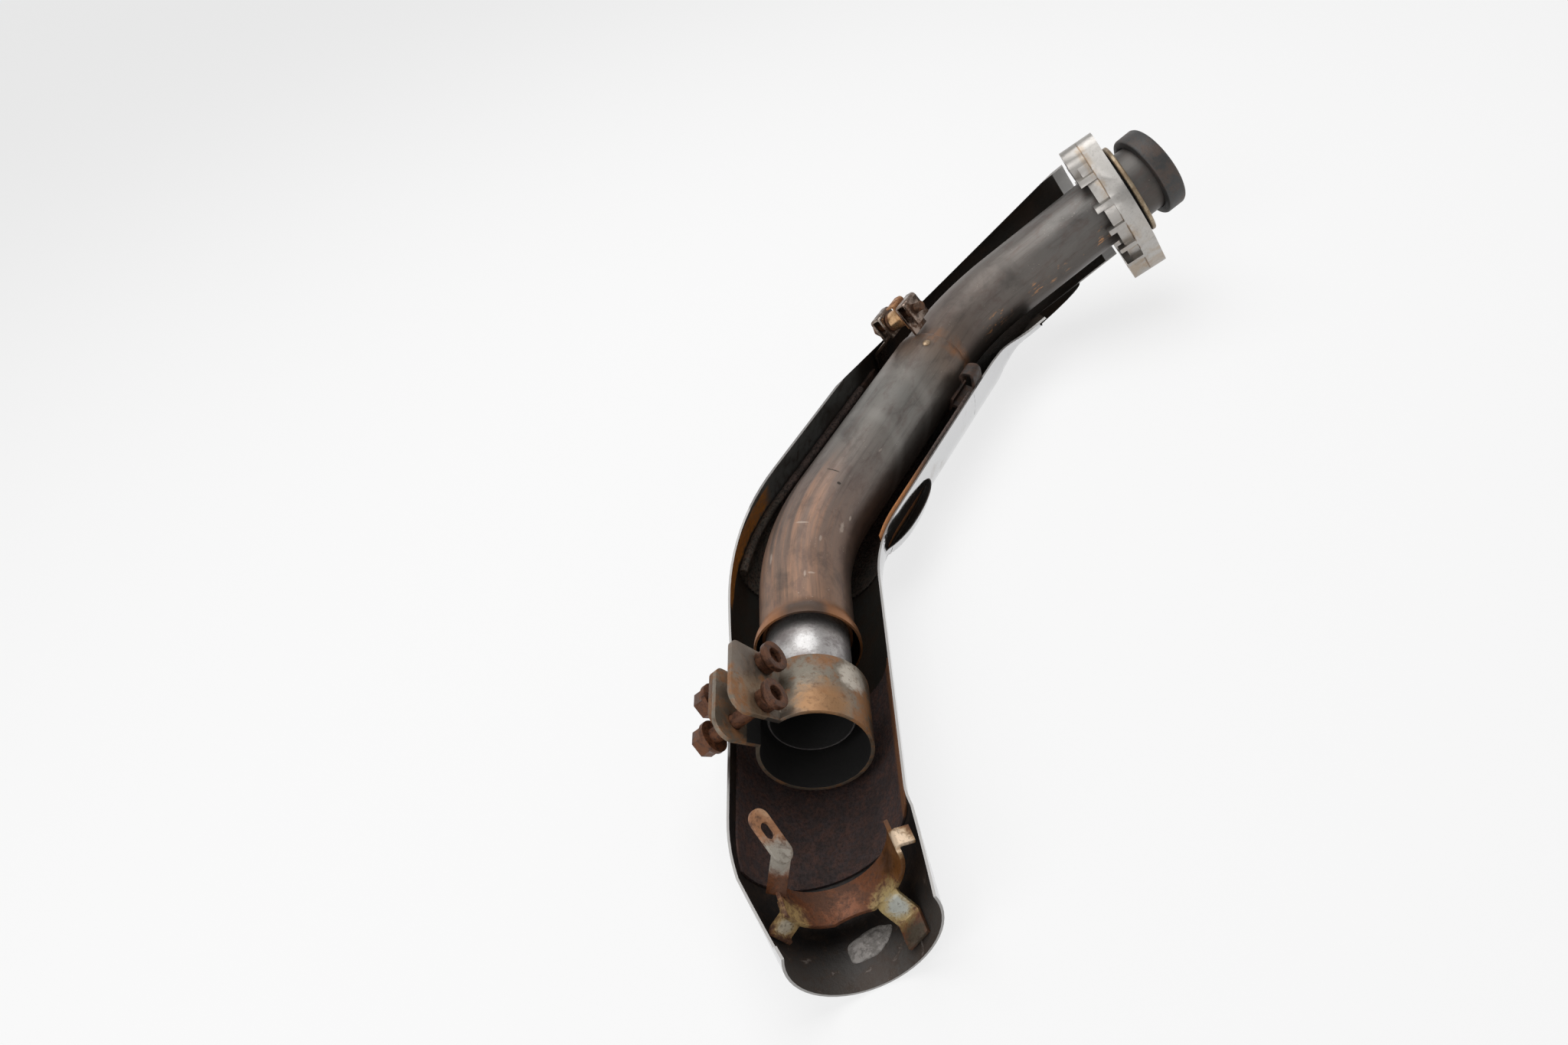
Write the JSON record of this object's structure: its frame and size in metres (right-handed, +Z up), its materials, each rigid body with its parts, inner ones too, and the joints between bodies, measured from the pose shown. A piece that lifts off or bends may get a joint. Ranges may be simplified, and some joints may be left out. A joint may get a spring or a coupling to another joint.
{
  "type": "motorcycle exhaust header",
  "caption": "Bent motorcycle exhaust header pipe with outer sleeve, half-round chromed heat shield, loose ribbed head flange, retaining ring and a muffler clamp hanging on its slip end.",
  "frame": {"origin": "centre of the outlet's mouth", "axes": "-Y out of the outlet, +Z up out of the shield's open side as the part lies, +X to the side the pipe bends towards"},
  "size_m": [0.3398, 0.5545, 0.1315],
  "materials": {
    "pipe": "heat-stained satin",
    "sleeve": "heat-stained satin",
    "spigot": "scuffed",
    "collar": "dark satin",
    "ring": "heat-tinted",
    "flange": "cast and machined, stained",
    "shield": "polished outside, sooty and rusted inside",
    "liner": "rusted",
    "cradle": "rusted",
    "clip": "tarnished bright",
    "barrel": "tarnished",
    "saddle": "heat-tinted and rusted",
    "clamp": "dull zinc with rust",
    "fastener": "rusted"
  },
  "bodies": {
    "root": {"header_tube": "pipe", "outer_sleeve": "sleeve", "outlet_spigot": "spigot", "port_collar": "collar", "retaining_ring": "ring", "head_flange": "flange", "heat_shield": "shield", "elbow_liner": "liner", "tail_liner": "liner", "shield_cradle": "cradle", "strap_lug": "clip", "strap_end": "clip", "strap_leaf": "fastener", "strap_barrel": "barrel", "strap_washer": "fastener", "strap_bolt": "fastener", "tail_saddle": "saddle", "clamp_band": "clamp", "clamp_plate": "clamp", "clamp_nuts": "fastener", "clamp_bolts": "fastener"}
  },
  "joints": []
}
